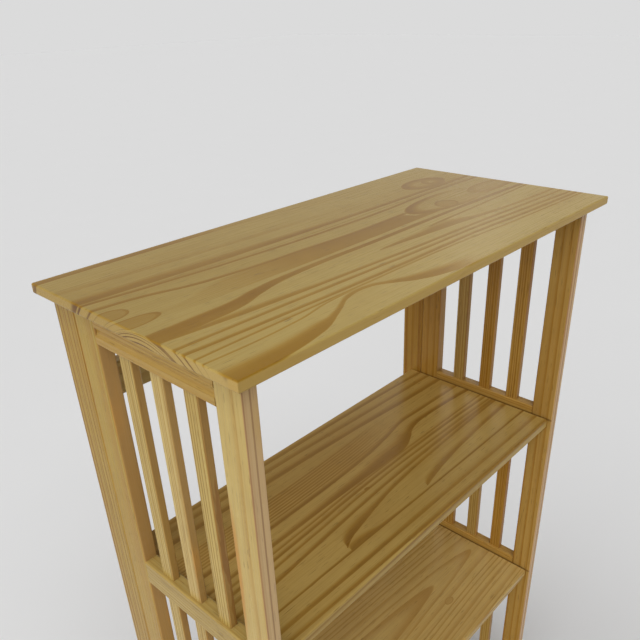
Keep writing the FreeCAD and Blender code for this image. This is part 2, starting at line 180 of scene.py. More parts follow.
def buildRings():
    # growth rings round a pith line that runs along X; each ring darkens slowly and ends sharply
    numbers = dict.fromkeys(("Pith Y", "Pith Z", "Pitch", "Taper", "Seed", "Start"), "float")
    tree, given, out = newGroup("growthRings", {"Vector": "vector", **numbers}, {"Late": "float"})
    x, y, z = split(tree, given["Vector"])
    dy = maths(tree, "SUBTRACT", y, given["Pith Y"])
    dz = maths(tree, "SUBTRACT", z, given["Pith Z"])
    radius = maths(tree, "SQRT", squares(tree, dy, dz))
    radius = maths(tree, "MULTIPLY_ADD", x, given["Taper"], radius)
    count = maths(tree, "ADD", maths(tree, "DIVIDE", radius, given["Pitch"]), given["Seed"])
    uneven = cloud(tree, join(tree, count, 0.0, given["Seed"]), *ringLook["swell"])
    count = maths(tree, "MULTIPLY_ADD", uneven, ringLook["uneven"], count)
    phase = maths(tree, "FRACT", count)
    whole = maths(tree, "FLOOR", count)
    chance = tree.nodes.new("ShaderNodeTexWhiteNoise")
    chance.noise_dimensions = "1D"
    feed(tree, chance.inputs["W"], whole)
    start = maths(tree, "MULTIPLY_ADD", chance.outputs["Value"], ringLook["startChance"], given["Start"])
    rise = steps(tree, phase, start, ringLook["full"])
    fall = steps(tree, phase, ringLook["fall"], 1.0, 1.0, 0.0)
    least, more = ringLook["depth"]
    depth = maths(tree, "MULTIPLY_ADD", chance.outputs["Value"], more, least)
    feed(tree, out["Late"], times(tree, times(tree, rise, fall), depth))
    return tree


eyeLook = {"full": 0.97, "end": 1.05, "insideFrom": 0.9}  # shares of the eye's reach


def buildKnot():
    # an eye in the grain: rings squeezed round a spot, longer along X than across
    tree, given, out = newGroup(
        "knotEye",
        {"Vector": "vector", "Centre": "vector", "Long": "float", "Wide": "float", "Rim": "float"},
        {"Ring": "float", "Inside": "float"},
    )
    x, y = split(tree, vectorMath(tree, "SUBTRACT", given["Vector"], given["Centre"]))[:2]
    u = maths(tree, "DIVIDE", x, given["Long"])
    v = maths(tree, "DIVIDE", y, given["Wide"])
    reach = maths(tree, "SQRT", squares(tree, u, v))
    inner = maths(tree, "SUBTRACT", 1.0, given["Rim"])
    rise = steps(tree, reach, inner, eyeLook["full"])
    fall = steps(tree, reach, eyeLook["full"], eyeLook["end"], 1.0, 0.0)
    feed(tree, out["Ring"], times(tree, rise, fall))
    feed(tree, out["Inside"], steps(tree, reach, eyeLook["insideFrom"], eyeLook["end"], 1.0, 0.0))
    return tree


# a range is where a mark starts and where it is full
finishLook = {
    "fibre": ((7, 620, 620), 3.0, 0.6), "fibreRange": (0.44, 0.7),
    "streak": ((2.5, 210, 210), 2.0, 0.55), "streakRange": (0.5, 0.74), "streakShare": 0.8,
    "blotch": ((3.5, 16, 16), 2.0, 0.5), "blotchRange": (0.42, 0.75),
    "wave": ((42, 26, 26), 1.0, 0.5), "waveDepth": 0.10,
    "warmRange": (0.0, 0.55), "darkRange": (0.5, 1.0),
    "dash": ((46, 700, 700), 0.0), "dashAway": (3.1, 0.7, 0.2), "dashRange": (0.73, 0.8),
    "resin": (104, 74, 36),
    "roughness": {"fibre": 0.12, "late": -0.05}, "height": {"late": 0.5, "fibre": 0.6, "dash": -0.6},
}


def buildFinish():
    # lacquered pine: pale wood and late wood, fibres, resin flecks, soft blotches and a satin sheen
    tree, given, out = newGroup(
        "lacqueredPine",
        {"Vector": "vector", "Late": "float", "Pale": "colour", "Warm": "colour", "Dark": "colour",
         "Fibre": "float", "Fleck": "float", "Blotch": "float", "Sheen": "float"},
        {"Color": "colour", "Roughness": "float", "Height": "float"},
    )
    look = finishLook
    vector, late = given["Vector"], given["Late"]
    noises = ("fibre", "streak", "blotch", "wave")
    fibre, streak, blotch, wave = [cloud(tree, vector, *look[noise]) for noise in noises]
    warmShare = steps(tree, late, *look["warmRange"], smooth=False)
    colour = blendColour(tree, warmShare, given["Pale"], given["Warm"])
    darkShare = steps(tree, late, *look["darkRange"], smooth=False)
    colour = blendColour(tree, darkShare, colour, given["Dark"])
    # the fibres are a little darker and warmer than what lies between them
    fibreDark = times(tree, steps(tree, fibre, *look["fibreRange"]), given["Fibre"])
    colour = blendColour(tree, fibreDark, colour, given["Dark"])
    streakMask = steps(tree, streak, *look["streakRange"])
    streakDark = times(tree, streakMask, times(tree, given["Fibre"], look["streakShare"]))
    colour = blendColour(tree, streakDark, colour, given["Warm"])
    tint = times(tree, steps(tree, blotch, *look["blotchRange"]), given["Blotch"])
    colour = blendColour(tree, tint, colour, given["Warm"])
    light = maths(tree, "MULTIPLY_ADD", maths(tree, "SUBTRACT", wave, 0.5), look["waveDepth"], 1.0)
    colour = blendColour(tree, 1.0, colour, join(tree, light, light, light), "MULTIPLY")
    # resin canals: short dark dashes along the grain
    dash = cloud(tree, vectorMath(tree, "ADD", vector, look["dashAway"]), *look["dash"])
    dashMask = times(tree, steps(tree, dash, *look["dashRange"]), given["Fleck"])
    colour = blendColour(tree, dashMask, colour, paint(*look["resin"]))
    feed(tree, out["Color"], colour)
    rough = maths(tree, "MULTIPLY_ADD", fibre, look["roughness"]["fibre"], given["Sheen"])
    feed(tree, out["Roughness"], maths(tree, "MULTIPLY_ADD", late, look["roughness"]["late"], rough))
    height = times(tree, fibre, look["height"]["fibre"])
    height = maths(tree, "MULTIPLY_ADD", late, look["height"]["late"], height)
    feed(tree, out["Height"], maths(tree, "MULTIPLY_ADD", dashMask, look["height"]["dash"], height))
    return tree


handlingLook = {
    "patch": ((9, 9, 9), 3.0, 0.6), "patchRange": (0.45, 0.8), "grit": ((160, 160, 160), 2.0, 0.6),
    "gritRange": (0.35, 0.75), "colour": (196, 188, 170), "rough": 0.5,
}


def buildHandling():
    # dust and rubbed lacquer that gather unevenly over every finish
    tree, given, out = newGroup(
        "handling", {"Vector": "vector", "Color": "colour", "Dust": "float"},
        {"Color": "colour", "Rough": "float"},
    )
    patch, grit = [cloud(tree, given["Vector"], *handlingLook[name]) for name in ("patch", "grit")]
    patchMask = steps(tree, patch, *handlingLook["patchRange"])
    mask = times(tree, patchMask, steps(tree, grit, *handlingLook["gritRange"]))
    mask = times(tree, mask, given["Dust"])
    feed(tree, out["Color"], blendColour(tree, mask, given["Color"], paint(*handlingLook["colour"])))
    feed(tree, out["Rough"], times(tree, mask, handlingLook["rough"]))
    return tree


grainDrift = buildWarp()
growthRings = buildRings()
knotEye = buildKnot()
lacqueredPine = buildFinish()
handling = buildHandling()
print("shared effects built")


# pine boards

pineTones = {
    "cream": {"pale": (197, 172, 106), "warm": (184, 150, 82), "dark": (134, 96, 46)},
    "straw": {"pale": (192, 166, 94), "warm": (168, 134, 66), "dark": (116, 84, 36)},
    "yellow": {"pale": (175, 146, 67), "warm": (163, 121, 46), "dark": (124, 82, 28)},
    "honey": {"pale": (184, 151, 80), "warm": (166, 124, 54), "dark": (128, 84, 32)},
    "tawny": {"pale": (184, 147, 77), "warm": (165, 119, 50), "dark": (128, 84, 30)},
    "amber": {"pale": (186, 143, 64), "warm": (167, 117, 42), "dark": (130, 82, 26)},
    "olive": {"pale": (181, 156, 90), "warm": (165, 129, 50), "dark": (147, 107, 24)},
    "shelf": {"pale": (198, 164, 90), "warm": (175, 134, 60), "dark": (145, 104, 40)},
    "fawn": {"pale": (191, 161, 97), "warm": (169, 132, 71), "dark": (138, 102, 49)},
    "sand": {"pale": (176, 150, 85), "warm": (158, 124, 60), "dark": (110, 78, 32)},
    "ochre": {"pale": (171, 141, 60), "warm": (156, 113, 36), "dark": (118, 76, 22)},
    "wheat": {"pale": (193, 153, 77), "warm": (173, 125, 50), "dark": (134, 90, 31)},
    "biscuit": {"pale": (190, 159, 90), "warm": (172, 132, 63), "dark": (132, 91, 40)},
    # painted shade: the cleats are darker than the pine they are cut from, to darken the narrow gaps beside
    # the shelves' ends
    "cleat": {"pale": (142, 101, 50), "warm": (122, 82, 38), "dark": (92, 60, 28)},
    "russet": {"pale": (172, 130, 50), "warm": (153, 104, 30), "dark": (116, 70, 18)},
}
endGrain = {"pale": (184, 156, 94), "dark": (116, 82, 46), "darkRange": (0.4, 0.95)}
grainTurn = {"x": (0, 0, 0), "y": (0, 0, -math.pi / 2), "z": (0, math.pi / 2, 0)}
seedShift = (1.7, 0.37, 0.21)
boardLook = {
    "fibre": 0.3, "fleck": 0.5, "blotch": 0.35, "sheen": 0.22, "bump": 0.00012, "bumpShare": 0.6,
    "dust": 0.03, "gloss": 0.13,
}


def newMaterial(name):
    material = bpy.data.materials.new(name)
    material.use_nodes = True
    tree = material.node_tree
    tree.nodes.clear()
    shader = tree.nodes.new("ShaderNodeBsdfPrincipled")
    output = tree.nodes.new("ShaderNodeOutputMaterial")
    tree.links.new(shader.outputs[0], output.inputs[0])
    return material, tree, shader


def boardCoordinates(tree, centre, grain, seed):
    # the piece's own middle at zero, with the grain along X
    place = tree.nodes.new("ShaderNodeTexCoord").outputs["Object"]
    centred = vectorMath(tree, "SUBTRACT", place, tuple(centre))
    turn = tree.nodes.new("ShaderNodeMapping")
    feed(tree, turn.inputs["Vector"], centred)
    turn.inputs["Rotation"].default_value = grainTurn[grain]
    own = turn.outputs["Vector"]
    shifted = vectorMath(tree, "ADD", own, tuple(seed * shift for shift in seedShift))
    return own, shifted


def finishPine(tree, shader, late, shifted, tone, look, ends=None, tints=(), shade=None):
    shades = {name.title(): paint(*colour) for name, colour in pineTones[tone].items()}
    shares = {name.title(): look[name] for name in ("fibre", "fleck", "blotch", "sheen")}
    wood = useGroup(tree, lacqueredPine, Vector=shifted, Late=late, **shades, **shares)
    colour = wood["Color"]
    if ends is not None:
        # end grain: pale early wood between thin dark rings
        dark = steps(tree, late, *endGrain["darkRange"])
        cut = blendColour(tree, dark, paint(*endGrain["pale"]), paint(*endGrain["dark"]))
        colour = blendColour(tree, ends, colour, cut)
    for factor, tint in tints:
        colour = blendColour(tree, factor, colour, tint)
    if shade is not None:
        colour = blendColour(tree, shade[0], colour, shade[1], "MULTIPLY")
    worn = useGroup(tree, handling, Vector=shifted, Color=colour, Dust=look["dust"])
    feed(tree, shader.inputs["Base Color"], worn["Color"])
    feed(tree, shader.inputs["Roughness"], maths(tree, "ADD", wood["Roughness"], worn["Rough"]))
    bump = tree.nodes.new("ShaderNodeBump")
    bump.inputs["Strength"].default_value = look["bumpShare"]
    bump.inputs["Distance"].default_value = look["bump"]
    feed(tree, bump.inputs["Height"], wood["Height"])
    feed(tree, shader.inputs["Normal"], bump.outputs[0])
    shader.inputs["Specular IOR Level"].default_value = look["gloss"]


# painted shade for the narrow gap beside each shelf's end: how deep, soft and dark the line is
gapShade = {
    "deep": 0.004, "soft": 0.0007, "above": 0.0004, "face": (0.0004, 0.0012), "share": 0.62,
    "colour": (104, 68, 30),
}


def shelfGapShade(tree, innerX):
    # painted shade: a thin dark line along the inner face, at the top of each shelf's end, where a narrow gap
    # lies between the shelf and the frame
    place = split(tree, tree.nodes.new("ShaderNodeTexCoord").outputs["Object"])
    half = gapShade["deep"] / 2
    line = None
    for name in ("upper_shelf", "middle_shelf", "lower_shelf"):
        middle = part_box(name)[1].z + gapShade["above"] - half
        offset = maths(tree, "ABSOLUTE", maths(tree, "SUBTRACT", place["Z"], middle))
        band = steps(tree, offset, half - gapShade["soft"], half + gapShade["soft"], 1.0, 0.0)
        line = band if line is None else maths(tree, "MAXIMUM", line, band)
    away = maths(tree, "ABSOLUTE", maths(tree, "SUBTRACT", place["X"], innerX))
    onFace = steps(tree, away, *gapShade["face"], gapShade["share"], 0.0)
    return times(tree, line, onFace), paint(*gapShade["colour"])


# how deep the face's shade goes, sharp at full strength and soft where it ends
faceCut = {
    "sharp": 0.0005, "soft": 0.0011, "patch": ((7, 40, 40), 1.0), "patchRange": (0.55, 0.68),
    "lineSoft": 0.0008, "leastShare": 0.01,
}


def frontShade(tree, own, drifted, shifted, thick, face):
    # the front face is cut along another ring, so it is a different shade with long patches and lines in it;
    # on the rear posts and back stiles that shade is also lifted as painted light, since the face lies in
    # shade
    soft, sharp = faceCut["soft"] - thick / 2, faceCut["sharp"] - thick / 2
    front = steps(tree, split(tree, own)["Y"], soft, sharp, 0.0, face["share"])
    patch = steps(tree, cloud(tree, shifted, *faceCut["patch"]), *faceCut["patchRange"])
    shade = blendColour(tree, patch, paint(*face["colour"]), paint(*face["patch"]))
    for spot, half in face.get("lines", ()):
        offset = maths(tree, "ABSOLUTE", maths(tree, "SUBTRACT", split(tree, drifted)["Z"], spot))
        line = steps(tree, offset, half, half + faceCut["lineSoft"], face["lineShare"], 0.0)
        onFace = maths(tree, "GREATER_THAN", front, faceCut["leastShare"])
        front = maths(tree, "MAXIMUM", front, times(tree, line, onFace))
        shade = blendColour(tree, line, shade, paint(*face["lineColour"]))
    return front, shade


smallKnot = {"rim": 0.5, "fill": 0.55}
streakRange = (0.1, 1.0)  # squared distance from a streak's middle, 1 at its edge


def pineMaterial(
    name, grain, tone, seed, pith, pitch, taper=0.0, drift=0.006, deep=1.0, start=0.28, face=None, knots=(),
    streaks=(), inner=None, **changes,
):
    low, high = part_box(name)
    material, tree, shader = newMaterial(name + "Pine")
    own, shifted = boardCoordinates(tree, (low + high) / 2, grain, seed)
    drifted = useGroup(tree, grainDrift, Vector=own, Seed=seed, Drift=drift)["Vector"]
    late = useGroup(
        tree, growthRings, Vector=drifted, Seed=seed, Pitch=pitch, Taper=taper, Start=start,
        **{"Pith Y": pith[0], "Pith Z": pith[1]},
    )["Late"]
    for x, y, long, wide in knots:
        eye = useGroup(
            tree, knotEye, Vector=drifted, Centre=(x, y, 0), Long=long, Wide=wide, Rim=smallKnot["rim"],
        )
        late = maths(tree, "MAXIMUM", late, eye["Ring"])
        late = maths(tree, "MAXIMUM", late, times(tree, eye["Inside"], smallKnot["fill"]))
    late = times(tree, late, deep)
    tints = []
    for streak in streaks:
        x, y = split(tree, vectorMath(tree, "SUBTRACT", drifted, (*streak["at"], 0)))[:2]
        u, v = maths(tree, "DIVIDE", x, streak["long"]), maths(tree, "DIVIDE", y, streak["wide"])
        reach = squares(tree, u, v)
        tints.append((steps(tree, reach, *streakRange, streak["share"], 0.0), paint(*streak["colour"])))
    if face:
        tints.append(frontShade(tree, own, drifted, shifted, high.y - low.y, face))
    # painted shade of the shelf gaps on the inner faces of the side frames' posts and rails
    if inner is not None:
        tints.append(shelfGapShade(tree, high.x if inner == "left" else low.x))
    finishPine(tree, shader, late, shifted, tone, {**boardLook, **changes}, tints=tints)
    return material


def dress(name, material):
    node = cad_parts[name]
    node.data.materials.clear()
    node.data.materials.append(material)


# side frames and back frame

posts = {
    "left_front_post": {
        "tone": "cream", "seed": 1.3, "pith": (0.012, 0.07), "pitch": 0.0105, "deep": 0.6,
        "streaks": [
            {"at": (0.35, 0.0165), "long": 0.12, "wide": 0.0075, "share": 0.85, "colour": (190, 136, 60)},
        ],
    },
    "left_rear_post": {"tone": "yellow", "seed": 2.1, "pith": (0.03, -0.055), "pitch": 0.012, "deep": 0.4},
    "right_front_post": {"tone": "tawny", "seed": 3.7, "pith": (0.05, 0.035), "pitch": 0.014, "deep": 0.6},
    # the right rear post and right back stile take darker, warmer tones than the left: partly boards that
    # differ, partly painted shade with the warm cast of light bounced inside the bookcase
    "right_rear_post": {"tone": "amber", "seed": 4.4, "pith": (0.055, -0.01), "pitch": 0.015, "deep": 0.6},
    "back_left_stile": {"tone": "ochre", "seed": 7.9, "pith": (0.04, 0.02), "pitch": 0.006, "deep": 0.95},
    "back_right_stile": {"tone": "russet", "seed": 8.3, "pith": (-0.045, 0.03), "pitch": 0.016, "deep": 0.65},
}
postGrain = {"drift": 0.009, "taper": 0.004}
frontFace = {
    "colour": (212, 176, 136), "patch": (204, 166, 116), "share": 0.58,
    "lines": [(-0.001, 0.0007), (0.0078, 0.0004)], "lineShare": 0.75, "lineColour": (136, 86, 60),
}
# the rear posts' and back stiles' front faces: their own cut of the grain, partly painted light that lifts
# the face out of its shade
rearFace = {"colour": (190, 148, 92), "patch": (200, 150, 86), "share": 0.75}
for name, board in posts.items():
    face = frontFace if "front" in name else rearFace
    inner = name.split("_")[0] if "post" in name else None
    dress(name, pineMaterial(name, "z", face=face, inner=inner, **postGrain, **board))

sides = ("left", "right")
sideRails = {
    "top": {"tone": "honey", "pitch": 0.0085}, "upper": {"tone": "sand", "pitch": 0.0045},
    "middle": {"tone": "sand", "pitch": 0.005}, "bottom": {"tone": "straw", "pitch": 0.006},
}
# the right rails take a darker, warmer tone than the left: partly boards that differ, partly painted shade
# with the warm cast of light bounced inside the bookcase
rightRailTone = "wheat"
railGrain = {"taper": 0.01, "deep": 0.36}
railSeeds = {"first": 11.1, "rail": 1.37, "side": 5.5}
for number, (height, board) in enumerate(sideRails.items()):
    pith = (-0.02 - 0.006 * number, 0.06)
    for sideNumber, side in enumerate(sides):
        name = f"{side}_{height}_rail"
        tone = board["tone"] if side == "left" else rightRailTone
        seed = railSeeds["first"] + railSeeds["rail"] * number + railSeeds["side"] * sideNumber
        dress(name, pineMaterial(name, "y", tone, seed, pith, board["pitch"], inner=side, **railGrain))

slatGrain = {
    "pitch": 0.0044, "taper": 0.003, "drift": 0.003, "start": 0.34,
    "face": {"colour": (166, 118, 62), "patch": (196, 132, 58), "share": 0.6},
}
# the right slats take darker, warmer tones than the left: partly boards that differ, partly painted shade
# with the warm cast of light bounced inside the bookcase
slatTones = {"left": ["straw", "cream", "straw"], "right": ["wheat", "amber", "biscuit"]}
slatSeeds = {"first": 21.3, "slat": 0.83, "bay": 3.1, "side": 9.7}
# the cleats take the dark cleat tone as painted shade for the gaps beside the shelves' ends
cleatGrain = {"tone": "cleat", "pith": (0.03, 0.02), "pitch": 0.004}
cleatSeeds = {"first": 51.0, "side": 4}
for sideNumber, side in enumerate(sides):
    for bayNumber, bay in enumerate(("top", "middle", "bottom")):
        for number in range(3):
            name = f"{side}_{bay}_slat_{number + 1}"
            seed = slatSeeds["first"] + slatSeeds["slat"] * number + slatSeeds["bay"] * bayNumber
            seed += slatSeeds["side"] * sideNumber
            tone = slatTones[side][(number + bayNumber) % 3]
            dress(name, pineMaterial(name, "z", tone, seed, (0.1, 0.004 * (number - 1)), **slatGrain))
    for number, height in enumerate(("upper", "middle", "lower")):
        name = f"{side}_{height}_cleat"
        seed = cleatSeeds["first"] + number + cleatSeeds["side"] * sideNumber
        dress(name, pineMaterial(name, "y", seed=seed, **cleatGrain))

# the back rails take the palest tone partly as painted light, standing in for light on their front faces in
# the shade under the top
backRailGrain = {"tone": "cream", "pith": (0.035, -0.03), "pitch": 0.009, "taper": 0.01, "deep": 0.55}
backRailSeeds = {"first": 61.0, "rail": 1.9}
for number, height in enumerate(("top", "upper", "middle", "lower")):
    name = f"back_{height}_rail"
    seed = backRailSeeds["first"] + backRailSeeds["rail"] * number
    dress(name, pineMaterial(name, "x", seed=seed, **backRailGrain))
print("frames dressed")


# boards with a broad figure; rings and knots are in millimetres from the middle of the board

# what a ring's two curves can hold, its usual flat share, and its edge and least softness in metres
bandLook = {
    "place": (-200, 200), "softness": (0, 50), "flat": 0.25, "edgeHalf": 0.0009, "leastSoft": 0.0002,
    "fullSoft": 0.002,
}


def curveOf(tree, along, points, reach, low, high):
    # a smooth curve through listed points, read at the place along the board; one number is a level curve
    if isinstance(points, (int, float)):
        points = [(-reach, points), (reach, points)]
    node = tree.nodes.new("ShaderNodeFloatCurve")
    curve = node.mapping.curves[0]
    node.mapping.extend = "HORIZONTAL"
    spots = [((x + reach) / (2 * reach), (value - low) / (high - low)) for x, value in points]
    while len(curve.points) < len(spots):
        curve.points.new(0.5, 0.5)
    for point, spot in zip(curve.points, spots):
        point.location = spot
    node.mapping.update()
    feed(tree, node.inputs["Value"], maths(tree, "MULTIPLY_ADD", along, 500 / reach, 0.5))
    return maths(tree, "MULTIPLY_ADD", node.outputs[0], (high - low) / 1000, low / 1000)


def fading(tree, along, fades):
    # nothing at the first place along the board, full at the second
    start, full = fades
    return steps(tree, along, start / 1000, full / 1000)


def ringBand(tree, along, across, ring, reach):
    # late wood lies behind the ring's edge and fades towards the rear over its soft width
    edge = curveOf(tree, along, ring["edge"], reach, *bandLook["place"])
    soft = curveOf(tree, along, ring["soft"], reach, *bandLook["softness"])
    behind = maths(tree, "SUBTRACT", across, edge)
    share = maths(tree, "DIVIDE", behind, maths(tree, "MAXIMUM", soft, bandLook["leastSoft"]))
    fade = steps(tree, share, ring.get("flat", bandLook["flat"]), 1.0, 1.0, 0.0)
    sharp = steps(tree, behind, -bandLook["edgeHalf"], bandLook["edgeHalf"])
    present = steps(tree, soft, bandLook["leastSoft"], bandLook["fullSoft"])
    band = times(tree, times(tree, fade, sharp), times(tree, present, ring["deep"]))
    if "fades" in ring:
        band = times(tree, band, fading(tree, along, ring["fades"]))
    return band


def arcsBelow(tree, own, across, pith):
    # each ring keeps its distance from the pith line below the face, so that the ends show arcs: it meets the
    # face at the root of square = away^2 + depth^2 - 2 * depth * pithDeep, or nowhere where that is negative
    pithY, pithDeep = pith
    away = maths(tree, "SUBTRACT", across, pithY)
    depth = maths(tree, "MAXIMUM", times(tree, split(tree, own)["Z"], -1.0), 0.0)
    square = maths(tree, "MULTIPLY_ADD", depth, depth, times(tree, away, away))
    square = maths(tree, "MULTIPLY_ADD", depth, -2 * pithDeep, square)
    outside = maths(tree, "SQRT", maths(tree, "MAXIMUM", square, 0.0))
    side = maths(tree, "SIGN", away)
    return maths(tree, "MULTIPLY_ADD", outside, side, pithY), depth, square


hiddenLook = {"pitch": 0.011, "rise": (0.3, 0.9), "fall": (0.93, 1.0), "core": (0.004, 0.01)}


def hiddenRings(tree, square):
    # rings that never reach the face show on the ends only
    inward = maths(tree, "SQRT", maths(tree, "MAXIMUM", times(tree, square, -1.0), 0.0))
    phase = maths(tree, "FRACT", maths(tree, "DIVIDE", inward, hiddenLook["pitch"]))
    rise = steps(tree, phase, *hiddenLook["rise"])
    late = times(tree, rise, steps(tree, phase, *hiddenLook["fall"], 1.0, 0.0))
    return times(tree, late, steps(tree, inward, *hiddenLook["core"]))


def layKnots(tree, late, along, across, knots):
    # each knot clears the rings inside it, then lays its own rim and fill
    flat = join(tree, along, across, 0.0)
    for knot in knots:
        x, y = knot["at"]
        eye = useGroup(
            tree, knotEye, Vector=flat, Centre=(x / 1000, y / 1000, 0), Long=knot["long"] / 1000,
            Wide=knot["wide"] / 1000, Rim=knot["rim"],
        )
        ring = times(tree, eye["Ring"], knot["deep"])
        if "fades" in knot:
            ring = times(tree, ring, fading(tree, along, knot["fades"]))
        keep = maths(tree, "MULTIPLY_ADD", eye["Inside"], -knot["clears"], 1.0)
        late = times(tree, late, keep)
        late = maths(tree, "MAXIMUM", late, ring)
        late = maths(tree, "MAXIMUM", late, times(tree, eye["Inside"], knot["fill"]))
    return late


fineLook = {"rise": (0.0, 0.3), "fall": (0.45, 1.0), "near": (-0.001, 0.002), "farSoft": 0.003}


def fineLines(tree, along, across, fine, reach):
    # thin rings, evenly spaced, over one strip of the board
    offset = maths(tree, "SUBTRACT", across, curveOf(tree, along, fine["edge"], reach, *bandLook["place"]))
    phase = maths(tree, "FRACT", maths(tree, "DIVIDE", offset, fine["pitch"] / 1000))
    rise = steps(tree, phase, *fineLook["rise"])
    lines = times(tree, rise, steps(tree, phase, *fineLook["fall"], 1.0, 0.0))
    near, wide = steps(tree, offset, *fineLook["near"]), fine["wide"] / 1000
    within = times(tree, near, steps(tree, offset, wide, wide + fineLook["farSoft"], 1.0, 0.0))
    lines = times(tree, times(tree, lines, within), fine["deep"])
    return times(tree, lines, fading(tree, along, fine["fades"]))


# distances in metres; the moulded front loses so much of its rings and takes so much of its own colour
edgeLook = {
    "faceSquare": (-0.00004, -0.000001), "vary": ((5, 22, 22), 2.0), "varyRange": (0.25, 0.75, 0.72, 1.12),
    "frontSoft": 0.008, "frontDepth": (0.0002, 0.002), "clears": 0.75, "tint": 0.7, "colour": (186, 152, 83),
    "endSoft": 0.003, "endDepth": (0.0004, 0.0025), "mitreHalf": 0.0005,
}


def figuredMaterial(name, tone, figure, changes):
    low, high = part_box(name)
    middle, half = (low + high) / 2, (high.x - low.x) / 2
    material, tree, shader = newMaterial(name + "Pine")
    own, shifted = boardCoordinates(tree, (middle.x, figure["middleY"], high.z), "x", figure["seed"])
    drifted = useGroup(tree, grainDrift, Vector=own, Seed=figure["seed"], Drift=figure["drift"])["Vector"]
    along, across = split(tree, drifted)[:2]
    across, depth, square = arcsBelow(tree, own, across, figure["pith"])
    late = None
    for ring in figure["rings"]:
        band = ringBand(tree, along, across, ring, figure["reach"])
        late = band if late is None else maths(tree, "MAXIMUM", late, band)
    hidden = hiddenRings(tree, square)
    late = layKnots(tree, late, along, across, figure["knots"])
    if "fineRings" in figure:
        lines = fineLines(tree, along, across, figure["fineRings"], figure["reach"])
        late = maths(tree, "MAXIMUM", late, lines)
    late = times(tree, late, steps(tree, square, *edgeLook["faceSquare"]))
    late = maths(tree, "MAXIMUM", late, hidden)
    vary = cloud(tree, shifted, *edgeLook["vary"])
    late = times(tree, late, steps(tree, vary, *edgeLook["varyRange"], smooth=False))
    # the moulded front is cut from early wood
    x, y = split(tree, own)[:2]
    frontFrom = -figure["frontFrom"]
    inFront = steps(tree, y, frontFrom, frontFrom - edgeLook["frontSoft"])
    inFront = times(tree, inFront, steps(tree, depth, *edgeLook["frontDepth"]))
    late = times(tree, late, maths(tree, "MULTIPLY_ADD", inFront, -edgeLook["clears"], 1.0))
    # the ends show end grain, up to the mitres at the front
    endFrom = half - figure["endDeep"]
    nearEnd = steps(tree, maths(tree, "ABSOLUTE", x), endFrom, endFrom + edgeLook["endSoft"])
    fromFront = maths(tree, "SUBTRACT", y, low.y - figure["middleY"])
    fromEnd = maths(tree, "SUBTRACT", maths(tree, "ABSOLUTE", x), half)
    mitre = maths(tree, "ADD", fromFront, fromEnd)
    ends = times(tree, nearEnd, steps(tree, depth, *edgeLook["endDepth"]))
    ends = times(tree, ends, steps(tree, mitre, -edgeLook["mitreHalf"], edgeLook["mitreHalf"]))
    tints = [(times(tree, inFront, edgeLook["tint"]), paint(*edgeLook["colour"]))]
    # painted shade: the board's colour is multiplied darker across its width, towards the rear on the top and
    # towards the front on the shelf, standing in for how the light falls across it
    shadeAcross = figure["paintedShadeAcross"]
    shade = (steps(tree, y, shadeAcross["from"], shadeAcross["to"]), paint(*shadeAcross["colour"]))
    finishPine(tree, shader, late, shifted, tone, {**boardLook, **changes}, ends, tints, shade)
    return material


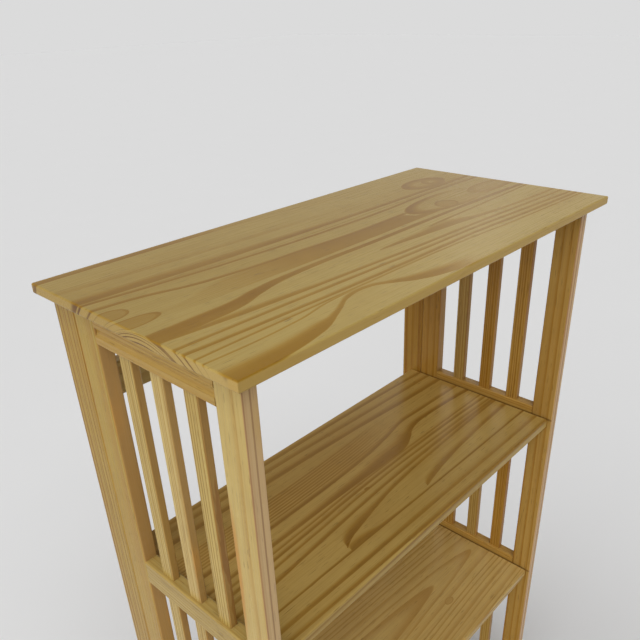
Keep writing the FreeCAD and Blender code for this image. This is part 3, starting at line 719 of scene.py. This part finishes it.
topFigure = {
    "seed": 0.4, "drift": 0.002, "reach": 360, "middleY": 0.0, "pith": (-0.038, 0.097), "frontFrom": 0.156,
    "endDeep": 0.016,
    # painted shade, darker towards the rear of the top
    "paintedShadeAcross": {"from": -0.15, "to": 0.06, "colour": (236, 231, 214)},
    "rings": [
        {"edge": 160, "soft": 18, "deep": 0.8, "fades": (0, -200)},
        {"edge": [(-360, 114), (-150, 101), (0, 97), (360, 96)], "soft": 16, "deep": 0.28,
         "fades": (60, -80)},
        {"edge": [(-360, 72), (-250, 66), (-100, 61), (0, 60), (150, 60), (360, 61.5)],
         "soft": [(-360, 24), (-100, 21), (50, 13), (360, 12)], "deep": 0.92, "flat": 0.2},
        {"edge": [(-360, 69), (-250, 60.5), (-100, 52), (0, 50), (100, 52), (360, 55)], "soft": 3,
         "deep": 0.4},
        {"edge": [(-360, 66), (-250, 54), (-150, 46), (0, 40), (100, 41), (200, 47), (360, 46)], "soft": 8,
         "deep": 0.95},
        {"edge": [(-360, 46), (-300, 38), (-250, 24), (-200, 17), (-150, 13), (-100, 11), (0, 6), (110, 8),
                  (360, 8)], "soft": 9, "deep": 0.95, "fades": (125, 95)},
        {"edge": [(-360, -8), (-300, -20), (-200, -22), (0, -22), (100, -20), (360, -18)],
         "soft": [(-360, 8), (-300, 16), (-230, 38), (-200, 42), (0, 35), (94, 31), (108, 14), (160, 8),
                  (360, 6)], "deep": 0.78, "flat": 0.8, "fades": (-360, -40)},
        {"edge": [(-360, -65), (-300, -64), (-250, -60), (-215, -49), (-175, -41), (0, -37.5), (200, -35),
                  (360, -37)], "soft": [(-360, 26), (-250, 22), (-200, 15), (-150, 11), (0, 9), (360, 8)],
         "deep": 1.0, "flat": 0.75},
        {"edge": [(-360, -66), (-250, -77), (-200, -80), (-100, -85), (0, -89.5), (100, -92), (200, -95.5),
                  (360, -103)], "soft": [(-360, 12), (-250, 14), (-150, 9), (0, 8), (360, 6)],
         "deep": 0.95},
        {"edge": [(-360, -60), (-40, -60.5), (0, -64), (50, -69), (100, -73), (200, -83), (360, -90)],
         "soft": [(-360, 0), (-42, 0), (-38, 2), (0, 10), (50, 19), (100, 27), (150, 14), (200, 9),
                  (360, 7)], "deep": 0.85},
        {"edge": [(-360, -54), (100, -52), (150, -50.5), (200, -49), (360, -43)],
         "soft": [(-360, 0), (60, 0), (100, 6), (200, 6), (360, 4)], "deep": 0.85},
        {"edge": [(-360, -89), (-200, -93), (-100, -96.5), (0, -100), (100, -102), (200, -108),
                  (360, -118)], "soft": 7.5, "deep": 0.95},
        {"edge": [(-360, -103), (-200, -109.5), (-100, -112), (0, -113), (100, -114), (200, -120),
                  (360, -127)], "soft": 8, "deep": 0.95},
        {"edge": [(-360, -117), (-150, -117), (50, -120), (150, -126), (250, -131), (360, -134)], "soft": 5,
         "deep": 0.75},
        {"edge": [(-360, -128), (-240, -127.5), (-200, -121), (-150, -118.5), (360, -118)], "soft": 4,
         "deep": 0.7, "fades": (-120, -180)},
        {"edge": [(-360, -172), (-245, -162), (-200, -142), (-165, -126), (-135, -126), (-110, -139),
                  (-90, -152), (-50, -166), (0, -172), (360, -178)],
         "soft": [(-360, 32), (-245, 24), (-200, 9), (-150, 8), (-120, 11), (-90, 20), (-50, 26), (0, 26),
                  (100, 20), (360, 12)], "deep": 0.9, "flat": 0.4, "fades": (30, -60)},
    ],
    "knots": [
        {"at": (206, 6), "long": 98, "wide": 31, "rim": 0.42, "deep": 1.0, "fill": 0.16, "clears": 0.85,
         "fades": (310, 150)},
        {"at": (184, -5), "long": 20, "wide": 16, "rim": 0.4, "deep": 0.95, "fill": 0.45, "clears": 0.0},
        {"at": (264, 93), "long": 48, "wide": 25, "rim": 0.8, "deep": 0.9, "fill": 0.12, "clears": 0.3},
        {"at": (283, 88), "long": 20, "wide": 20, "rim": 0.9, "deep": 0.75, "fill": 0.1, "clears": 0.0},
        {"at": (312, 2), "long": 55, "wide": 20, "rim": 0.95, "deep": 0.6, "fill": 0.35, "clears": 0.0},
        {"at": (-350, 23), "long": 20, "wide": 13, "rim": 0.4, "deep": 0.75, "fill": 0.4, "clears": 0.3},
        {"at": (-346, -8), "long": 33, "wide": 12, "rim": 0.4, "deep": 0.75, "fill": 0.4, "clears": 0.3},
    ],
}
dress("top_board", figuredMaterial("top_board", "olive", topFigure, {"fibre": 0.26, "gloss": 0.08}))

shelfFigure = {
    "seed": 3.3, "drift": 0.002, "reach": 320, "middleY": 0.0, "pith": (-0.07, 0.09), "frontFrom": 0.3,
    "endDeep": 0.002,
    # painted shade, darker towards the front of the shelf
    "paintedShadeAcross": {"from": 0.06, "to": -0.12, "colour": (229, 232, 238)},
    "rings": [
        {"edge": [(-320, 133), (0, 130.5), (200, 126), (320, 120)], "soft": 10, "deep": 0.8,
         "fades": (-300, -250)},
        {"edge": [(-320, 118), (-50, 114), (100, 108), (320, 100)], "soft": 12, "deep": 0.75,
         "fades": (-300, -250)},
        {"edge": [(-320, 96), (-50, 92.5), (100, 86.5), (200, 80), (320, 75)], "soft": 14, "deep": 0.85},
        {"edge": [(-320, 16), (-150, 17), (0, 21.5), (50, 26), (100, 33), (150, 42), (200, 41), (320, 37)],
         "soft": 11, "deep": 0.8},
        {"edge": [(-320, -12), (-150, -10), (0, -9), (50, -10), (95, -8), (125, 4), (145, 15), (165, 20),
                  (200, 21), (320, 12)],
         "soft": [(-320, 8), (-150, 12), (0, 22), (50, 32), (95, 34), (125, 26), (150, 16), (320, 12)],
         "deep": 0.9},
        {"edge": [(-320, -24), (-150, -19), (0, -13), (150, -12.5), (320, -14)], "soft": 6, "deep": 0.7},
        {"edge": [(-320, -36), (-150, -28), (0, -21), (150, -20), (320, -25)], "soft": 8, "deep": 0.8},
        {"edge": [(-320, -48), (-150, -38), (0, -30), (150, -30), (320, -34)], "soft": 7, "deep": 0.7},
        {"edge": [(-320, -66), (-250, -62), (-150, -54), (-50, -47), (50, -42), (150, -40), (320, -41)],
         "soft": 9, "deep": 0.85},
        {"edge": [(-320, -88), (-139, -88), (-131, -84), (-118, -79), (-100, -75), (-50, -65), (0, -57),
                  (150, -48), (320, -45)],
         "soft": [(-320, 0), (-141, 0), (-137, 9), (-125, 19), (-105, 20), (-60, 14), (0, 10), (320, 8)],
         "deep": 0.9},
        {"edge": [(-320, -97.5), (0, -98.5), (320, -101)],
         "soft": [(-320, 0), (-141, 0), (-138, 12), (-125, 20), (-105, 18), (-70, 9), (0, 5), (320, 5)],
         "deep": 0.9},
        {"edge": [(-320, -92), (38, -92), (60, -88), (100, -81), (150, -75), (320, -66)],
         "soft": [(-320, 0), (36, 0), (40, 7), (60, 16), (100, 17), (150, 13), (320, 12)], "deep": 0.75},
        {"edge": [(-320, -97), (-100, -98), (100, -99.5), (320, -100)], "soft": 5, "deep": 1.0},
        {"edge": [(-320, -122), (0, -124), (320, -127)], "soft": 10, "deep": 0.75},
        {"edge": [(-320, -138), (0, -143), (320, -146)], "soft": 9, "deep": 0.75},
    ],
    "fineRings": {
        "edge": [(-320, 29), (0, 30), (100, 38), (150, 46), (320, 50)], "pitch": 5.1, "wide": 39,
        "deep": 0.65, "fades": (150, 20),
    },
    "knots": [
        {"at": (-27, -27), "long": 5, "wide": 2.5, "rim": 0.6, "deep": 0.9, "fill": 0.8, "clears": 0.0},
    ],
}
dress("upper_shelf", figuredMaterial("upper_shelf", "shelf", shelfFigure, {"fibre": 0.24, "sheen": 0.27}))

shelves = {
    "middle_shelf": {
        "tone": "fawn", "deep": 0.62, "seed": 71.7, "pith": (-0.03, -0.055), "pitch": 0.0075, "taper": 0.035,
        "knots": [(0.155, -0.075, 0.011, 0.007)],
    },
    "lower_shelf": {
        "tone": "fawn", "seed": 74.9, "pith": (0.05, -0.06), "pitch": 0.008, "taper": 0.03,
        "knots": [(-0.12, 0.03, 0.012, 0.008)],
    },
}
shelfDrift = 0.012
for name, board in shelves.items():
    dress(name, pineMaterial(name, "x", drift=shelfDrift, **board))
print("boards dressed")


# hinges and pins

steelLook = {
    "colour": (158, 157, 152), "stain": (122, 119, 110), "stainRange": (0.45, 0.8),
    "spangle": ((260, 260, 260), 2.0, 0.6), "scratch": ((2400, 160, 160), 2.0, 0.6), "scratchRough": 0.2,
    "roughness": 0.38, "bump": 0.00005, "bumpShare": 0.4, "dust": 0.12,
}


def steelMaterial(name):
    look = steelLook
    material, tree, shader = newMaterial(name)
    place = tree.nodes.new("ShaderNodeTexCoord").outputs["Object"]
    spangle, scratch = [cloud(tree, place, *look[noise]) for noise in ("spangle", "scratch")]
    stain = steps(tree, spangle, *look["stainRange"])
    colour = blendColour(tree, stain, paint(*look["colour"]), paint(*look["stain"]))
    worn = useGroup(tree, handling, Vector=place, Color=colour, Dust=look["dust"])
    feed(tree, shader.inputs["Base Color"], worn["Color"])
    smoothest = look["roughness"] - look["scratchRough"] / 2
    rough = maths(tree, "MULTIPLY_ADD", scratch, look["scratchRough"], smoothest)
    feed(tree, shader.inputs["Roughness"], maths(tree, "ADD", rough, worn["Rough"]))
    shader.inputs["Metallic"].default_value = 1.0
    bump = tree.nodes.new("ShaderNodeBump")
    bump.inputs["Strength"].default_value = look["bumpShare"]
    bump.inputs["Distance"].default_value = look["bump"]
    feed(tree, bump.inputs["Height"], scratch)
    feed(tree, shader.inputs["Normal"], bump.outputs[0])
    return material


steel = steelMaterial("zincPlate")
steelPieces = (
    "stile_hinge_leaves", "rail_hinge_leaves", "left_hinge_leaves", "right_hinge_leaves", "top_hinge_leaves",
    "shelf_pivot_pins",
)
for name in steelPieces:
    dress(name, steel)

screwSize = {
    "radius": 0.0031, "crown": 0.00035, "slotLong": 0.0038, "slotWide": 0.0008, "slotDeep": 0.0009,
    "sink": 0.0012, "rings": 19, "corners": 48,
}


def screwHead(centre, outward, turn):
    # a dome r -> crown * (1 - r^2), with a cross pressed into it where |u| or |v| is under half the slot's
    # width, and a skirt that runs back into the leaf
    angles = np.linspace(0, 2 * np.pi, screwSize["corners"], endpoint=False)
    radial, around = np.meshgrid(np.linspace(0, 1, screwSize["rings"]), angles, indexing="ij")
    r = radial * screwSize["radius"]
    u, v = r * np.cos(around + turn), r * np.sin(around + turn)
    height = screwSize["crown"] * (1 - radial**2)
    half, reach = screwSize["slotWide"] / 2, screwSize["slotLong"] / 2
    inCross = (np.minimum(np.abs(u), np.abs(v)) < half) & (r < reach)
    height = np.where(inCross, height - screwSize["slotDeep"] * (1 - (r / reach) ** 2), height)
    skirt = np.stack([u[-1:], v[-1:], np.full_like(r[-1:], -screwSize["sink"])], -1)
    points, faces = closedFan(np.concatenate([np.stack([u, v, height], -1), skirt]))
    side = Vector(outward).orthogonal().normalized()
    up = Vector(outward).cross(side)
    basis = np.array([side, up, Vector(outward)])
    return points @ basis + np.array(centre), faces


def closedFan(grid):
    # joins a ring-by-ring grid round its middle; the first ring is one point, and the last one is capped
    rings, around = grid.shape[:2]
    first, last = grid[:1, :1].reshape(1, 3), grid[-1:].mean(axis=1).reshape(1, 3)
    points = np.concatenate([first, grid[1:].reshape(-1, 3), last])
    index = 1 + np.arange((rings - 1) * around).reshape(rings - 1, around)
    nextOne = np.roll(index, -1, axis=1)
    centre = np.stack([np.zeros(around, int), index[0], nextOne[0]], -1).tolist()
    walls = np.stack([index[:-1], index[1:], nextOne[1:], nextOne[:-1]], -1).reshape(-1, 4).tolist()
    cap = np.stack([index[-1], np.full(around, len(points) - 1), nextOne[-1]], -1).tolist()
    return points, centre + walls + cap


def meshPiece(name, points, faces, material, body):
    mesh = bpy.data.meshes.new(name)
    mesh.from_pydata(points.tolist(), [], faces)
    mesh.materials.append(material)
    mesh.polygons.foreach_set("use_smooth", [True] * len(mesh.polygons))
    mesh.update()
    piece = bpy.data.objects.new(name, mesh)
    scene.collection.objects.link(piece)
    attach(piece, body)


def screwSet(name, spots, outward, turns, body):
    firstTurn, turnStep = turns
    points, faces = [], []
    for number, spot in enumerate(spots):
        own, ownFaces = screwHead(spot, outward, firstTurn + turnStep * number)
        start = sum(len(p) for p in points)
        points.append(own)
        faces += [[start + corner for corner in face] for face in ownFaces]
    meshPiece(name, np.concatenate(points), faces, steel, body)


# three screws in each of the top hinges' fixed leaves, each so far along the leaf and up it
railScrews = {
    "leafHalf": 0.02, "leafThick": 0.0015, "steps": [(-0.013, 0.011), (0, 0.017), (0.013, 0.011)],
    "turns": (0.4, 1.1),
}
leafLow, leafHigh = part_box("rail_hinge_leaves")
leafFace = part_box("back_top_rail")[1].y + railScrews["leafThick"]
hingeMiddles = [leafLow.x + railScrews["leafHalf"], leafHigh.x - railScrews["leafHalf"]]
spots = [(middle + x, leafFace, leafLow.z + z) for middle in hingeMiddles for x, z in railScrews["steps"]]
screwSet("railHingeScrews", spots, (0, 1, 0), railScrews["turns"], "back_frame")
print("hinges dressed")


# camera

view = {
    "place": (-0.63773, -0.54057, 1.45784), "turn": (61.473, 1.590, -47.960), "lens": 37.729, "sensor": 36,
    "shift": (-0.02577, 0.07629), "nearest": 0.01,
}
camera = bpy.data.objects.new("camera", bpy.data.cameras.new("camera"))
scene.collection.objects.link(camera)
camera.location = view["place"]
camera.rotation_euler = Euler([math.radians(angle) for angle in view["turn"]], "XYZ")
camera.data.sensor_width = view["sensor"]
camera.data.lens = view["lens"]
camera.data.shift_x, camera.data.shift_y = view["shift"]
camera.data.clip_start = view["nearest"]
camera.data.dof.use_dof = False
scene.camera = camera


# studio

studio = {"paper": (219, 219, 219), "ambient": 0.1}
floorLook = {
    "reach": 30.0, "height": -0.0005, "rows": 9, "colour": (237.4, 237.4, 237.4), "noise": ((3, 3, 3), 2.0),
    "noiseRange": (0.2, 0.8, 0.996, 1.004), "roughness": 0.9,
}
lamps = {
    "keyLight": {"from": (-0.74, -0.02, 0.67), "strength": 2.12, "spread": 72},
    "frontLight": {"from": (-0.2, -0.54, 0.82), "strength": 1.04, "spread": 40},
    "sheenLight": {"from": (0.70, 0.47, 0.54), "strength": 0.05, "spread": 8},
    "lowSheenLight": {"from": (0.81, 0.47, 0.345), "strength": 0.013, "spread": 5},
}


def flatGrid(name, reach, count, height):
    # an even grid of points over a square, all at one height
    side = np.linspace(-reach, reach, count)
    x, y = np.meshgrid(side, side, indexing="ij")
    points = np.stack([x, y, np.full_like(x, height)], -1).reshape(-1, 3)
    index = np.arange(count * count).reshape(count, count)
    faces = np.stack([index[:-1, :-1], index[1:, :-1], index[1:, 1:], index[:-1, 1:]], -1).reshape(-1, 4)
    mesh = bpy.data.meshes.new(name)
    mesh.from_pydata(points.tolist(), [], faces.tolist())
    piece = bpy.data.objects.new(name, mesh)
    scene.collection.objects.link(piece)
    return piece


floor = flatGrid("paperFloor", floorLook["reach"], floorLook["rows"], floorLook["height"])
floorMaterial, tree, shader = newMaterial("paperFloor")
place = tree.nodes.new("ShaderNodeTexCoord").outputs["Object"]
paperNoise = cloud(tree, place, *floorLook["noise"])
lift = steps(tree, paperNoise, *floorLook["noiseRange"], smooth=False)
floorColour = blendColour(tree, 1.0, paint(*floorLook["colour"]), join(tree, lift, lift, lift), "MULTIPLY")
feed(tree, shader.inputs["Base Color"], floorColour)
shader.inputs["Roughness"].default_value = floorLook["roughness"]
shader.inputs["Specular IOR Level"].default_value = 0.0
floor.data.materials.append(floorMaterial)

world = bpy.data.worlds.new("studio")
scene.world = world
world.use_nodes = True
tree = world.node_tree
tree.nodes.clear()
paths = tree.nodes.new("ShaderNodeLightPath").outputs
mirrored = maths(tree, "MAXIMUM", paths["Is Glossy Ray"], paths["Is Transmission Ray"])
seen = maths(tree, "MAXIMUM", paths["Is Camera Ray"], mirrored)
soft = tree.nodes.new("ShaderNodeBackground")
soft.inputs["Color"].default_value = (1, 1, 1, 1)
soft.inputs["Strength"].default_value = studio["ambient"]
paper = tree.nodes.new("ShaderNodeBackground")
paper.inputs["Color"].default_value = paint(*studio["paper"])
either = tree.nodes.new("ShaderNodeMixShader")
feed(tree, either.inputs[0], seen)
tree.links.new(soft.outputs[0], either.inputs[1])
tree.links.new(paper.outputs[0], either.inputs[2])
tree.links.new(either.outputs[0], tree.nodes.new("ShaderNodeOutputWorld").inputs[0])

for name, lamp in lamps.items():
    light = bpy.data.objects.new(name, bpy.data.lights.new(name, "SUN"))
    scene.collection.objects.link(light)
    light.data.energy = lamp["strength"]
    light.data.angle = math.radians(lamp["spread"])
    light.rotation_euler = Vector(lamp["from"]).to_track_quat("Z", "Y").to_euler()
print("studio lit")
